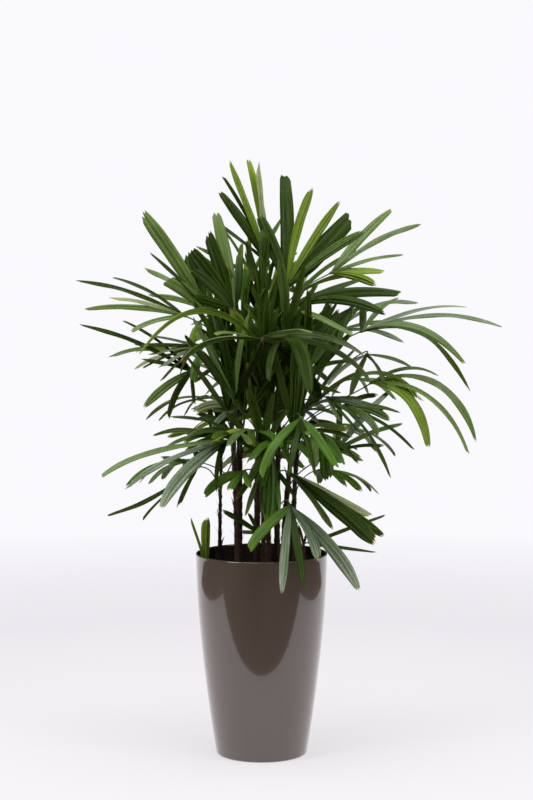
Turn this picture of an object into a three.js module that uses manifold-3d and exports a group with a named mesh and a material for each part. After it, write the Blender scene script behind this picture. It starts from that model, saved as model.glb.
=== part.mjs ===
// A lady palm, Rhapis excelsa: a clump of canes with fan fronds, in a tall round planter.
// Millimetres, +Z up. The origin is the middle of the planter's flat underside, +X is the plant's
// right and -Y is its front.
import * as THREE from "three";
import { mergeVertices } from "three/addons/utils/BufferGeometryUtils.js";
import Module from "manifold-3d";

const wasm = await Module();
wasm.setup();

// Planter: a tapered tub with a bellied wall, a half-round lip and a rounded foot
const POT_HEIGHT = 617;
const POT_RIM_RADIUS = 200;
const POT_FOOT_RADIUS = 138;
const POT_BELLY = 1.65; // power of the wall's curve: 1 is a straight cone, more is rounder
const POT_WALL = 6;
const POT_FLOOR = 12;
const POT_FOOT_ROUNDING = 9;
const POT_SIDES = 36;
const POT_WALL_STEPS = 7;
const POT_CORNER_STEPS = 3;
const SOIL_LEVEL = 560;

const GAP = 0.3; // clearance between neighbouring solids
const SEAT_GAP = 0.35; // how much larger a cane is cut from a leaf stalk that sits on it
const SOIL_PLAY = 0.8; // the soil's radius under the planter's inside radius
const LEAST_GAP = 0.27; // a solid with less than this to a neighbour grows another way
const SAME_POINT = 1e-4; // points closer than this are one
const SIMPLER_BY = 0.02; // how far a joined frond's surface may move to need fewer faces

// Canes: foot x, foot y, top x, top y, top z, radius at the foot
const CANES = [
  [-127, -15, -122, -15, 905, 7],
  [-68, -55, -60, -45, 1290, 11.5],
  [-14, 15, 0, 20, 1400, 10.5],
  [20, -70, 35, -90, 1010, 9],
  [47, 55, 65, 45, 1380, 10],
  [66, -25, 140, -40, 1180, 10],
  [-75, 85, -115, 120, 1230, 10],
  [95, 80, 135, 145, 1150, 9],
  [5, 125, 10, 185, 1040, 9],
];
const CANE_TAPER = 0.62; // radius at the tip over radius at the foot
const CANE_SIDES = 8;
const CANE_STEPS = 6;

// Fronds. Each leaves its cane at a height and ends in a hub, from which its blades fan out.
// aim: compass angle of the fan's middle, 0 is +X and 90 is +Y. rise: its angle above level.
// roll: turn of the fan about its aim. droop: how far a blade bends down from hub to tip.
// Angles are in degrees.

// The front fronds, whose blades each have a turn in the fan and a length
// cane, leaves at z, hub, aim, rise, roll, droop, blades
const FRONT_FRONDS = [
  [1, 1180, [-165, -20, 1360], 188, 50, -50, 15,
    [[-16, 360], [-2, 240], [10, 160], [-34, 200]]],
  [1, 1140, [-230, -60, 1340], 188, 22, -40, 30,
    [[-13, 350], [-31, 270], [-4, 240], [8, 310], [32, 190]]],
  [1, 960, [-210, -40, 1175], 190, 5, -65, 25,
    [[-31, 370], [-46, 270], [-20, 160], [32, 190], [59, 170], [100, 110]]],
  [1, 1220, [-80, -110, 1360], 200, 65, -60, 10,
    [[11, 230], [22, 190], [-12, 250], [-24, 305], [-44, 190], [48, 170]]],
  [2, 1340, [20, 40, 1500], 185, 74, -75, 8,
    [[16, 260], [8, 295], [2, 330], [-9, 320], [-14, 310], [34, 220]]],
  [4, 1270, [75, -40, 1430], -5, 62, 70, 8,
    [[32, 350], [17, 310], [-1, 300], [-12, 290], [-26, 300], [48, 230]]],
  [4, 1310, [215, 120, 1465], 15, 25, 50, 25,
    [[32, 350], [14, 350], [-1, 240], [-16, 170], [-38, 150]]],
  [4, 1200, [85, -60, 1370], -15, 12, 40, 18,
    [[6, 340], [-14, 320], [-34, 260], [30, 240]]],
  [5, 1050, [300, -80, 1295], -5, 22, 50, 45,
    [[14, 340], [-1, 430], [-24, 340], [-36, 410], [47, 190], [76, 140]]],
  [2, 1130, [-10, -180, 1275], -90, 35, 0, 60,
    [[-74, 260], [-50, 430], [-22, 300], [26, 320], [52, 380], [77, 370], [122, 300]]],
  [5, 930, [330, -60, 1140], -10, 35, 40, 80,
    [[-28, 180], [-52, 320], [-42, 430], [-33, 440], [8, 220]]],
  [5, 880, [245, -60, 1070], -15, 5, 50, 40,
    [[-5, 160], [-20, 270], [-32, 170], [-45, 290], [8, 180], [38, 120]]],
  [5, 780, [230, 20, 930], 5, 30, 60, 25,
    [[2, 220], [29, 270], [-16, 150], [-46, 90], [60, 190]]],
  [0, 790, [-105, -120, 970], 196, 20, -35, 56,
    [[43, 350], [13, 425], [24, 400], [-16, 230], [76, 190]]],
  [0, 720, [-195, 40, 875], 180, -5, -60, 35,
    [[9, 320], [26, 240], [-37, 130], [-85, 80], [48, 150]]],
  [1, 860, [-95, -80, 1000], 190, 20, -40, 35,
    [[-34, 120], [20, 170], [-5, 190], [50, 170]]],
  [3, 760, [-50, -150, 885], -130, -15, 0, 40,
    [[-34, 150], [8, 110], [50, 100]]],
  [3, 890, [115, -200, 1045], -85, -35, 0, 40,
    [[-42, 240], [-18, 220], [12, 210], [38, 200]]],
  [3, 650, [85, -190, 785], -75, -45, 0, 35,
    [[-58, 200], [-18, 290], [2, 260], [24, 200], [41, 330]]],
  [3, 730, [85, -160, 880], -25, -25, 20, 30,
    [[1, 350], [13, 340], [26, 280], [-18, 240]]],
  [5, 830, [180, -120, 995], -60, -30, 0, 40,
    [[-22, 200], [-40, 150], [14, 130], [40, 150]]],
  [5, 1120, [270, -60, 1365], 200, -20, -40, 30,
    [[23, 240], [38, 160], [4, 180]]],
  [5, 980, [315, -60, 1225], -110, -20, 0, 40,
    [[-1, 200], [-40, 170], [40, 180], [95, 150]]],
  [4, 1080, [62, -150, 1280], -72, 0, 0, 85,
    [[-4, 375], [-36, 200], [30, 170]]],
  [1, 980, [-80, -130, 1090], -100, 80, 0, 12,
    [[-30, 250], [-19, 290], [-8, 300], [7, 270], [22, 240]]],
];

// The fronds that fill the crown, with blades spread evenly over a fan
// cane, leaves at z, hub, aim, rise, roll, droop, blades, fan, reach of the middle blades
const FULL_FRONDS = [
  [1, 930, [-50, -105, 1046], -95, 84, 0, 6, 7, 66, 315],
  [2, 1010, [5, -65, 1115], -85, 80, 0, 8, 7, 84, 290],
  [5, 880, [98, -105, 1000], -92, 85, 0, 6, 5, 36, 310],
  [3, 830, [5, -120, 930], -100, 78, 0, 12, 6, 100, 210],
  [8, 980, [15, 110, 1120], 92, 76, 0, 12, 6, 100, 280],
  [6, 1080, [-95, 60, 1200], 170, 74, 0, 12, 6, 100, 280],
  [7, 1000, [120, 70, 1150], 20, 72, 0, 12, 6, 100, 280],
  [1, 1240, [-60, 60, 1385], 130, 58, 0, 20, 5, 100, 260],
  [6, 1160, [-150, 210, 1340], 112, 46, 0, 30, 5, 100, 300],
  [6, 1050, [-220, 190, 1210], 138, 22, 0, 50, 5, 130, 280],
  [6, 900, [-160, 240, 1070], 118, 8, 0, 60, 5, 140, 270],
  [7, 1070, [230, 230, 1280], 45, 32, 0, 45, 6, 140, 330],
  [7, 950, [270, 210, 1130], 34, 14, 0, 60, 5, 150, 290],
  [7, 830, [220, 260, 980], 50, 4, 0, 65, 5, 150, 280],
  [8, 970, [20, 330, 1160], 90, 22, 0, 60, 6, 170, 320],
  [8, 870, [-60, 320, 1010], 110, 8, 0, 65, 5, 150, 300],
  [8, 800, [60, 330, 930], 85, 12, 0, 60, 5, 150, 250],
  [2, 1290, [-30, 160, 1450], 96, 56, 0, 20, 5, 90, 290],
  [4, 1280, [110, 190, 1400], 70, 46, 0, 30, 5, 110, 310],
  [6, 780, [-220, 170, 880], 150, 4, 0, 60, 5, 120, 240],
  [7, 740, [180, 180, 850], 30, 4, 0, 60, 5, 120, 230],
  [2, 1180, [-20, 250, 1280], 95, 32, 0, 45, 6, 150, 320],
];
const FULL_FRONDS_FROM = 40; // the fill fronds' numbers in the draw of chances

// Shoots that stand in the soil: a stub with blades out of its top
// name, foot x, foot y, stub height, stub radius, aim, rise, roll, droop, blade width, blades
const SHOOTS = [
  ["green_shoot", -165, -55, 30, 5, 180, 84, -80, 4, 26, [[-6, 150], [11, 150]]],
  ["dried_shoot", 128, -20, 75, 7, 180, 80, -60, 10, 9, [[-25, 60], [-2, 75], [30, 65], [60, 45]]],
];
const SHOOTS_FROM = 80; // the shoots' numbers in the draw of chances

const STALK_RADIUS = 3.2;
const STALK_STEPS = 5;
const STALK_BOW = 0.38; // how far its ends keep their own direction, over its length
const HUB_RADIUS = 8;
const BLADE_WIDTH = 37;
const BLADE_STEPS = 4;
const BLADE_SLENDER = 95; // length over thickness
const BLADE_LEAST_THICKNESS = 2.6;
const BLADE_BEND_POWER = 1.3; // 1 bends evenly, more bends towards the tip
const BLADE_STEEPEST = 85; // degrees under level at which a blade hangs and bends no more
const BLADE_SECTION = [[1, -0.35], [0, 0.65], [-1, -0.35]]; // half widths and thicknesses
const ROOT_SHARE = 0.08; // width at the hub over full width
const ROOT_GROWTH = 1.25; // how fast a blade widens from the hub
const TIP_START = 0.8; // where a blade starts to narrow
const TIP_LOSS = 0.5; // share of the width lost at the blunt tip
const TIP_POWER = 1.6;
const OUTER_SHARE = 0.72; // length of the outermost blades over the middle ones

// How much blades differ: degrees for turn, lift and twist, and shares of the rest
const TURN_PLAY = 9;
const LIFT_PLAY = 8;
const TWIST_PLAY = 50;
const LENGTH_PLAY = 0.16;
const DROOP_PLAY = 0.2;
const WIDTH_PLAY = 0.6;

// Ways to grow a blade, tried in turn until it is clear of its neighbours:
// extra turn in the fan, lift out of it, share of the length
const BLADE_WAYS = [
  [0, 0, 1],
  [0, 6, 1],
  [0, -6, 1],
  [5, 0, 1],
  [-5, 0, 1],
  [0, 12, 1],
  [0, -12, 1],
  [9, 5, 0.95],
  [-9, -5, 0.95],
  [0, 18, 0.9],
  [0, -18, 0.9],
  [4, 9, 0.75],
  [-4, -9, 0.75],
  [0, 0, 0.6],
];

// Ways to grow a leaf stalk: sideways and upward shift of its middle
const STALK_WAYS = [
  [0, 0],
  [15, 0],
  [-15, 0],
  [0, 15],
  [0, -15],
  [30, 0],
  [-30, 0],
  [30, 20],
  [-30, 20],
  [50, 0],
  [-50, 0],
];

const UP = new THREE.Vector3(0, 0, 1);
const EAST = new THREE.Vector3(1, 0, 0);
const radians = THREE.MathUtils.degToRad;

// The draw of chances
const CHANCE_START = 7;
const CHANCE_STEP = 31;
const CHANCE_FACTOR = 48271;
const CHANCE_LIMIT = 2 ** 31 - 1;

// A repeatable number from 0 to 1 for each set of whole-number keys
function chance(...keys) {
  let n = CHANCE_START;
  for (const key of keys) {
    n = ((n * CHANCE_STEP + key + 1) * CHANCE_FACTOR) % CHANCE_LIMIT;
  }
  return n / CHANCE_LIMIT;
}

function compass(azimuth, rise) {
  const level = Math.cos(radians(rise));
  const x = level * Math.cos(radians(azimuth));
  const y = level * Math.sin(radians(azimuth));
  return new THREE.Vector3(x, y, Math.sin(radians(rise)));
}

function solidOf(geometry) {
  const bare = geometry.clone();
  bare.deleteAttribute("normal");
  bare.deleteAttribute("uv");
  const merged = mergeVertices(bare, SAME_POINT);
  const vertProperties = merged.attributes.position.array;
  const triVerts = new Uint32Array(merged.index.array);
  return new wasm.Manifold(new wasm.Mesh({ numProp: 3, vertProperties, triVerts }));
}

function geometryOf(solid) {
  const mesh = solid.getMesh();
  const geometry = new THREE.BufferGeometry();
  geometry.setAttribute("position", new THREE.BufferAttribute(mesh.vertProperties, 3));
  geometry.setIndex(new THREE.BufferAttribute(mesh.triVerts, 1));
  geometry.computeVertexNormals();
  return geometry;
}

// The planter and the soil are turned about the Z axis from [radius, z] profiles

function potOuterRadius(z) {
  const below = 1 - z / POT_HEIGHT;
  const spread = POT_RIM_RADIUS - POT_FOOT_RADIUS;
  return POT_FOOT_RADIUS + spread * (1 - Math.pow(below, POT_BELLY));
}

function potInnerRadius(z) {
  return potOuterRadius(z) - POT_WALL;
}

// Heights from low to high in even steps, both ends included
function heights(low, high, steps) {
  return Array.from({ length: steps + 1 }, (_, i) => low + ((high - low) * i) / steps);
}

function lathe(profile) {
  const points = profile.map(([radius, z]) => new THREE.Vector2(radius, z));
  return new THREE.LatheGeometry(points, POT_SIDES).rotateX(Math.PI / 2);
}

function potGeometry() {
  const lip = POT_WALL / 2;
  const wallTop = POT_HEIGHT - lip;
  const footCentre = potOuterRadius(POT_FOOT_ROUNDING) - POT_FOOT_ROUNDING;
  const lipCentre = potOuterRadius(wallTop) - lip;
  const profile = [[0, 0]];
  for (let i = 0; i < POT_CORNER_STEPS; i++) {
    const turn = ((Math.PI / 2) * i) / POT_CORNER_STEPS;
    const radius = footCentre + POT_FOOT_ROUNDING * Math.sin(turn);
    profile.push([radius, POT_FOOT_ROUNDING * (1 - Math.cos(turn))]);
  }
  for (const z of heights(POT_FOOT_ROUNDING, wallTop, POT_WALL_STEPS)) {
    profile.push([potOuterRadius(z), z]);
  }
  for (let i = 1; i < POT_CORNER_STEPS; i++) {
    const turn = (Math.PI * i) / POT_CORNER_STEPS;
    profile.push([lipCentre + lip * Math.cos(turn), wallTop + lip * Math.sin(turn)]);
  }
  for (const z of heights(POT_FLOOR, wallTop, POT_WALL_STEPS).reverse()) {
    profile.push([potInnerRadius(z), z]);
  }
  profile.push([0, POT_FLOOR]);
  return lathe(profile);
}

function soilGeometry() {
  const floor = POT_FLOOR + GAP;
  const profile = [[0, floor]];
  for (const z of heights(floor, SOIL_LEVEL, POT_WALL_STEPS)) {
    profile.push([potInnerRadius(z) - SOIL_PLAY, z]);
  }
  profile.push([0, SOIL_LEVEL]);
  return lathe(profile);
}

// A section swept from t = 0 to t = 1, where place(t, x, y) says where its point (x, y) goes
function sweep(section, steps, place) {
  const shape = new THREE.Shape(section.map(([x, y]) => new THREE.Vector2(x, y)));
  const geometry = new THREE.ExtrudeGeometry(shape, { depth: 1, steps, bevelEnabled: false });
  const points = geometry.getAttribute("position");
  for (let i = 0; i < points.count; i++) {
    const to = place(points.getZ(i), points.getX(i), points.getY(i));
    points.setXYZ(i, to.x, to.y, to.z);
  }
  return geometry;
}

// A round limb along a curve. radiusAt(t) is its radius, and a flat foot is cut level.
function limb(curve, radiusAt, sides, steps, flatFoot) {
  const ring = Array.from({ length: sides }, (_, i) => {
    const turn = (2 * Math.PI * (i + 0.5)) / sides;
    return [Math.cos(turn), Math.sin(turn)];
  });
  return sweep(ring, steps, (t, x, y) => {
    const ahead = flatFoot && t === 0 ? UP : curve.getTangent(t);
    const right = EAST.clone().addScaledVector(ahead, -ahead.x).normalize();
    const back = new THREE.Vector3().crossVectors(ahead, right);
    const to = curve.getPoint(t).addScaledVector(right, x * radiusAt(t));
    return to.addScaledVector(back, y * radiusAt(t));
  });
}

function caneCurve([footX, footY, topX, topY, topZ]) {
  const foot = new THREE.Vector3(footX, footY, SOIL_LEVEL + GAP);
  const top = new THREE.Vector3(topX, topY, topZ);
  const middle = new THREE.Vector3(footX, footY, (SOIL_LEVEL + topZ) / 2);
  return new THREE.QuadraticBezierCurve3(foot, middle, top);
}

function caneGeometry(cane, grown) {
  const radiusAt = (t) => cane[5] * (1 - (1 - CANE_TAPER) * t) + grown;
  return limb(caneCurve(cane), radiusAt, CANE_SIDES, CANE_STEPS, true);
}

const HALVINGS = 30;

// The point on a cane's middle line at a height, found by halving
function caneAt(cane, z) {
  const curve = caneCurve(cane);
  let low = 0;
  let high = 1;
  for (let i = 0; i < HALVINGS; i++) {
    const t = (low + high) / 2;
    if (curve.getPoint(t).z < z) {
      low = t;
    } else {
      high = t;
    }
  }
  return curve.getPoint(low);
}

// Blades spread evenly over a fan, each with its turn and length, the outer ones shorter
function evenBlades(count, fan, reach, index) {
  const blades = [];
  for (let i = 0; i < count; i++) {
    const spot = (2 * i) / (count - 1) - 1;
    const turn = (spot * fan) / 2 + (chance(index, i, 1) - 0.5) * TURN_PLAY;
    const share = 1 - (1 - OUTER_SHARE) * spot * spot;
    blades.push([turn, reach * share * (1 + (chance(index, i, 2) - 0.5) * LENGTH_PLAY)]);
  }
  return blades;
}

// A fan of blades at a hub, with its directions ahead, to its side and out of its face
function makeFan(index, hub, aim, rise, roll, droop, width, blades) {
  const ahead = compass(aim, rise);
  const level = compass(aim + 90, 0);
  const above = new THREE.Vector3().crossVectors(ahead, level);
  const turn = radians(roll);
  const side = level.multiplyScalar(Math.cos(turn)).addScaledVector(above, Math.sin(turn));
  const normal = new THREE.Vector3().crossVectors(ahead, side);
  return { index, hub: new THREE.Vector3(...hub), ahead, side, normal, droop, width, blades };
}

// A blade's length, bend, width and twist, and its first directions: along it and across it
function bladePlan(fan, blade, [moreTurn, moreLift, share]) {
  const play = (channel, range) => (chance(fan.index, blade, channel) - 0.5) * range;
  const [turn, length] = fan.blades[blade];
  const inFan = radians(turn + moreTurn);
  const outOfFan = radians(moreLift + play(3, LIFT_PLAY));
  const flat = fan.ahead.clone().multiplyScalar(Math.cos(inFan));
  flat.addScaledVector(fan.side, Math.sin(inFan));
  const along = flat.multiplyScalar(Math.cos(outOfFan));
  along.addScaledVector(fan.normal, Math.sin(outOfFan));
  return {
    along,
    across: new THREE.Vector3().crossVectors(fan.normal, along).normalize(),
    length: length * share,
    droop: radians(fan.droop * (1 + play(4, DROOP_PLAY))),
    width: fan.width * (1 + play(5, WIDTH_PLAY)),
    twist: radians(play(6, TWIST_PLAY)),
  };
}

// The blade's frame at each step: its middle, and its directions across and out of its face
function bladeFrames(fan, plan) {
  const level = new THREE.Vector3(plan.along.x, plan.along.y, 0).normalize();
  const hinge = new THREE.Vector3().crossVectors(UP, level);
  const mostBend = Math.asin(plan.along.z) + radians(BLADE_STEEPEST);
  const turned = (t) => {
    const bend = Math.min(plan.droop * Math.pow(t, BLADE_BEND_POWER), mostBend);
    return new THREE.Quaternion().setFromAxisAngle(hinge, bend);
  };
  const middle = fan.hub.clone();
  const stride = plan.length / BLADE_STEPS;
  const frames = [];
  for (let i = 0; i <= BLADE_STEPS; i++) {
    const t = i / BLADE_STEPS;
    const ahead = plan.along.clone().applyQuaternion(turned(t));
    const roll = new THREE.Quaternion().setFromAxisAngle(ahead, plan.twist * t);
    const across = plan.across.clone().applyQuaternion(turned(t)).applyQuaternion(roll);
    const face = new THREE.Vector3().crossVectors(ahead, across);
    frames.push({ middle: middle.clone(), across, face });
    const step = plan.along.clone().applyQuaternion(turned(t + 0.5 / BLADE_STEPS));
    middle.addScaledVector(step, stride);
  }
  return frames;
}

// A blade's width over its full width: a strap that widens from the hub to a blunt tip
function bladeOutline(t) {
  const root = Math.min(1, ROOT_SHARE + ROOT_GROWTH * t);
  const pastStart = Math.max(0, (t - TIP_START) / (1 - TIP_START));
  return root * (1 - TIP_LOSS * Math.pow(pastStart, TIP_POWER));
}

function bladeGeometry(fan, blade, way) {
  const plan = bladePlan(fan, blade, way);
  const frames = bladeFrames(fan, plan);
  const thickness = Math.max(BLADE_LEAST_THICKNESS, plan.length / BLADE_SLENDER);
  return sweep(BLADE_SECTION, BLADE_STEPS, (t, x, y) => {
    const { middle, across, face } = frames[Math.round(t * BLADE_STEPS)];
    const to = middle.clone().addScaledVector(across, (x * plan.width * bladeOutline(t)) / 2);
    return to.addScaledVector(face, y * thickness);
  });
}

function hubGeometry(fan) {
  return new THREE.IcosahedronGeometry(HUB_RADIUS).translate(...fan.hub.toArray());
}

// A leaf stalk rises along its cane and flows into the fan's middle
function stalkGeometry(fan, start, [shift, lift]) {
  const bow = STALK_BOW * start.distanceTo(fan.hub);
  const across = new THREE.Vector3().subVectors(fan.hub, start).cross(UP).normalize();
  const first = start.clone().addScaledVector(UP, bow);
  const last = fan.hub.clone().addScaledVector(fan.ahead, -bow);
  for (const point of [first, last]) {
    point.addScaledVector(across, shift).addScaledVector(UP, lift);
  }
  const curve = new THREE.CubicBezierCurve3(start, first, last, fan.hub);
  return limb(curve, () => STALK_RADIUS, 3, STALK_STEPS, false);
}

// The solids that are in place, each with its owner and its box
const inPlace = [];

function put(solid, owner) {
  inPlace.push({ solid, owner, box: solid.boundingBox() });
}

function boxesNear(a, b) {
  return [0, 1, 2].every((k) => a.min[k] - GAP < b.max[k] && b.min[k] - GAP < a.max[k]);
}

function isClear(solid, owner) {
  const box = solid.boundingBox();
  const near = inPlace.filter((other) => other.owner !== owner && boxesNear(box, other.box));
  return near.every((other) => solid.minGap(other.solid, 2 * GAP) > LEAST_GAP);
}

// The first way that grows a solid clear of all others, or null
function growClear(ways, make, owner) {
  for (const way of ways) {
    const solid = make(way);
    if (isClear(solid, owner)) {
      put(solid, owner);
      return solid;
    }
  }
  return null;
}

function largestBody(solid) {
  return solid.decompose().reduce((a, b) => (a.volume() > b.volume() ? a : b));
}

// Grows a fan's blades on its stem and joins them
function growBlades(fan, stem, owner) {
  const make = (blade) => (way) => solidOf(bladeGeometry(fan, blade, way));
  const grown = fan.blades.map((_, blade) => growClear(BLADE_WAYS, make(blade), owner));
  const whole = grown.filter(Boolean).reduce((a, b) => a.add(b), stem);
  return geometryOf(largestBody(whole.simplify(SIMPLER_BY)));
}

const palm = new THREE.Group();

function addNode(name, geometry, material) {
  const mesh = new THREE.Mesh(geometry, material);
  mesh.name = name;
  palm.add(mesh);
}

function finish(color, roughness) {
  return new THREE.MeshStandardMaterial({ color, roughness, metalness: 0 });
}

const POT_FINISH = finish("#6b5f57", 0.12);
const SOIL_FINISH = finish("#2b211b", 0.95);
const CANE_FINISH = finish("#3a2a22", 0.9);
const FROND_FINISH = finish("#35591f", 0.45);
const DRIED_FINISH = finish("#5a4330", 0.9);

addNode("pot", potGeometry(), POT_FINISH);
addNode("soil", soilGeometry(), SOIL_FINISH);

CANES.forEach((cane, i) => {
  const name = "cane_" + (i + 1);
  const geometry = caneGeometry(cane, 0);
  put(solidOf(geometry), name);
  addNode(name, geometry, CANE_FINISH);
});

for (const [i, row] of SHOOTS.entries()) {
  const [name, x, y, height, radius, aim, rise, roll, droop, width, blades] = row;
  const top = SOIL_LEVEL + height;
  const fan = makeFan(SHOOTS_FROM + i, [x, y, top], aim, rise, roll, droop, width, blades);
  const stubGeometry = caneGeometry([x, y, x, y, top + HUB_RADIUS / 2, radius], 0);
  const stub = solidOf(stubGeometry);
  put(stub, name);
  const dried = name.startsWith("dried");
  addNode(name, growBlades(fan, stub, name), dried ? DRIED_FINISH : FROND_FINISH);
}

// All stalks grow before any blade, because a blade has more ways to give room
const fronds = [...FRONT_FRONDS, ...FULL_FRONDS].map((row, i) => {
  const [cane, leaves, hub, aim, rise, roll, droop, ...rest] = row;
  const name = "frond_" + String(i + 1).padStart(2, "0");
  const isFront = i < FRONT_FRONDS.length;
  const index = isFront ? i : FULL_FRONDS_FROM + i - FRONT_FRONDS.length;
  const blades = isFront ? rest[0] : evenBlades(...rest, index);
  const fan = makeFan(index, hub, aim, rise, roll, droop, BLADE_WIDTH, blades);
  const start = caneAt(CANES[cane], leaves);
  const seat = solidOf(caneGeometry(CANES[cane], SEAT_GAP));
  const make = (way) => {
    const stalk = solidOf(stalkGeometry(fan, start, way)).subtract(seat);
    return largestBody(stalk.add(solidOf(hubGeometry(fan))));
  };
  return { name, fan, stem: growClear(STALK_WAYS, make, name) };
});
for (const { name, fan, stem } of fronds.filter((frond) => frond.stem)) {
  addNode(name, growBlades(fan, stem, name), FROND_FINISH);
}

export default palm;
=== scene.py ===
"""A lady palm in a tall glossy planter: the finished looks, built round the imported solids.

Metres, +Z up. The origin is the middle of the planter's underside, -Y is the front. The tables and the
growing rule repeat the solids' own, in millimetres and degrees, and are carried to finer blades here.
"""
import math
from types import SimpleNamespace

import bpy
import numpy as np
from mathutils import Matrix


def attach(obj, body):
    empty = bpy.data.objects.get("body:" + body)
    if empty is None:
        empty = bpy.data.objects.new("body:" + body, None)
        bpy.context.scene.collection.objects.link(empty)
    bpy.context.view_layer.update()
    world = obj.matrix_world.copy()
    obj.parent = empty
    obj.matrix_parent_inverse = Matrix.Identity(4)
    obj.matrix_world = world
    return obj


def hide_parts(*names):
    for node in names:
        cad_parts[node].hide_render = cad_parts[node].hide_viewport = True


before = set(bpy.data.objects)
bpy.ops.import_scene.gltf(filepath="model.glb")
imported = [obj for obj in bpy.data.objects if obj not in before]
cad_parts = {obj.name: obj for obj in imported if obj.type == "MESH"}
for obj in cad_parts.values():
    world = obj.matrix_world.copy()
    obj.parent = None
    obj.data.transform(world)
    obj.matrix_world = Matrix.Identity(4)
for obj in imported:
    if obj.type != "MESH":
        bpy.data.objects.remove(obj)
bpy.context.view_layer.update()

MM = 0.001
UP = np.array([0.0, 0.0, 1.0])
EAST = np.array([1.0, 0.0, 0.0])


# ---------- The plant's tables

POT_HEIGHT = 617
POT_RIM_RADIUS = 200
POT_FOOT_RADIUS = 138
POT_BELLY = 1.65
POT_WALL = 6
POT_FLOOR = 12
POT_FOOT_ROUNDING = 9
SOIL_LEVEL = 560
GAP = 0.3
SOIL_PLAY = 0.8

# foot x, foot y, top x, top y, top z, radius at the foot
CANES = [
    [-127, -15, -122, -15, 905, 7],
    [-68, -55, -60, -45, 1290, 11.5],
    [-14, 15, 0, 20, 1400, 10.5],
    [20, -70, 35, -90, 1010, 9],
    [47, 55, 65, 45, 1380, 10],
    [66, -25, 140, -40, 1180, 10],
    [-75, 85, -115, 120, 1230, 10],
    [95, 80, 135, 145, 1150, 9],
    [5, 125, 10, 185, 1040, 9],
]
CANE_TAPER = 0.62

# The fronds at the front, one a row: cane, leaves it at z, hub x, y, z, aim, rise, roll, droop. Then
# each blade: its turn in the fan, its length and its look, which is the letter of its tint, the
# width that it shows to the front and, after ^, how far its middle arches up or down. The look is
# the finished scene's own.
FRONT_FRONDS = """
1 1180 -165 -20 1360 188 50 -50 15: -16 360 g42, -2 240 d9, 10 160 g40, -34 200 d40
1 1140 -230 -60 1340 188 22 -40 30: -13 350 d10, -31 270 d9, -4 240 o6, 8 310 g16, 32 190 g15
1 960 -210 -40 1175 190 5 -65 25: -31 370 d12, -46 270 d8, -20 160 d6, 32 190 g26, 59 170 d19,
  100 110 d7
1 1220 -80 -110 1360 200 65 -60 10: 11 230 d44, 22 190 d34, -12 250 d38, -24 305 g38, -44 190 d26,
  48 170 d26
2 1340 20 40 1500 185 74 -75 8: 16 260 d29, 8 295 d11, 2 330 b20, -9 320 b26, -14 310 o14, 34 220 d7
4 1270 75 -40 1430 -5 62 70 8: 32 350 d42, 17 310 b27, -1 300 b25, -12 290 d58, -26 300 g26,
  48 230 d38
4 1310 215 120 1465 15 25 50 25: 32 350 g27, 14 350 g16, -1 240 g9, -16 170 b20, -38 150 b26
4 1200 85 -60 1370 -15 12 40 18: 6 340 d32^16, -14 320 d28^16, -34 260 g16, 30 240 d18
5 1050 300 -80 1295 -5 22 50 45: 14 340 p8, -1 430 p11, -24 340 g21^35, -36 410 d7^45, 47 190 g12,
  76 140 d22
2 1130 -10 -180 1275 -90 35 0 60: -74 260 g14, -50 430 b15^50, -22 300 g10^-25, 26 320 g9^-25,
  52 380 g18^-10, 77 370 g17, 122 300 d42
5 930 330 -60 1140 -10 35 40 80: -28 180 b32, -52 320 b30^15, -42 430 g14^15, -33 440 g20^20,
  8 220 g8
5 880 245 -60 1070 -15 5 50 40: -5 160 g24, -20 270 d9, -32 170 g20, -45 290 d8, 8 180 g10,
  38 120 d14
5 780 230 20 930 5 30 60 25: 2 220 g14, 29 270 p20, -16 150 d8, -46 90 g10, 60 190 g18
0 790 -105 -120 970 196 20 -35 56: 43 350 p38^-15, 13 425 g17^-25, 24 400 p15^-20, -16 230 d12,
  76 190 d14
0 720 -195 40 875 180 -5 -60 35: 9 320 d13^-45, 26 240 d7^-15, -37 130 d12, -85 80 d18, 48 150 d9
1 860 -95 -80 1000 190 20 -40 35: -34 120 d18, 20 170 d14, -5 190 d5, 50 170 g20
3 760 -50 -150 885 -130 -15 0 40: -34 150 v30, 8 110 v22, 50 100 v20
3 890 115 -200 1045 -85 -35 0 40: -42 240 v26, -18 220 d12, 12 210 d14, 38 200 v27
3 650 85 -190 785 -75 -45 0 35: -58 200 v32^-10, -18 290 p26, 2 260 d24, 24 200 p28, 41 330 p38^-10
3 730 85 -160 880 -25 -25 20 30: 1 350 d46^-25, 13 340 d34^-30, 26 280 o30^-20, -18 240 d16^-10
5 830 180 -120 995 -60 -30 0 40: -22 200 d40, -40 150 g40, 14 130 v27, 40 150 d10
5 1120 270 -60 1365 200 -20 -40 30: 23 240 d30, 38 160 d22, 4 180 d16
5 980 315 -60 1225 -110 -20 0 40: -1 200 d19, -40 170 p14, 40 180 d8, 95 150 g8
4 1080 62 -150 1280 -72 0 0 85: -4 375 d42, -36 200 d20, 30 170 g14
1 980 -80 -130 1090 -100 80 0 12: -30 250 d18, -19 290 g14, -8 300 d24, 7 270 g16, 22 240 d18
"""

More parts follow.
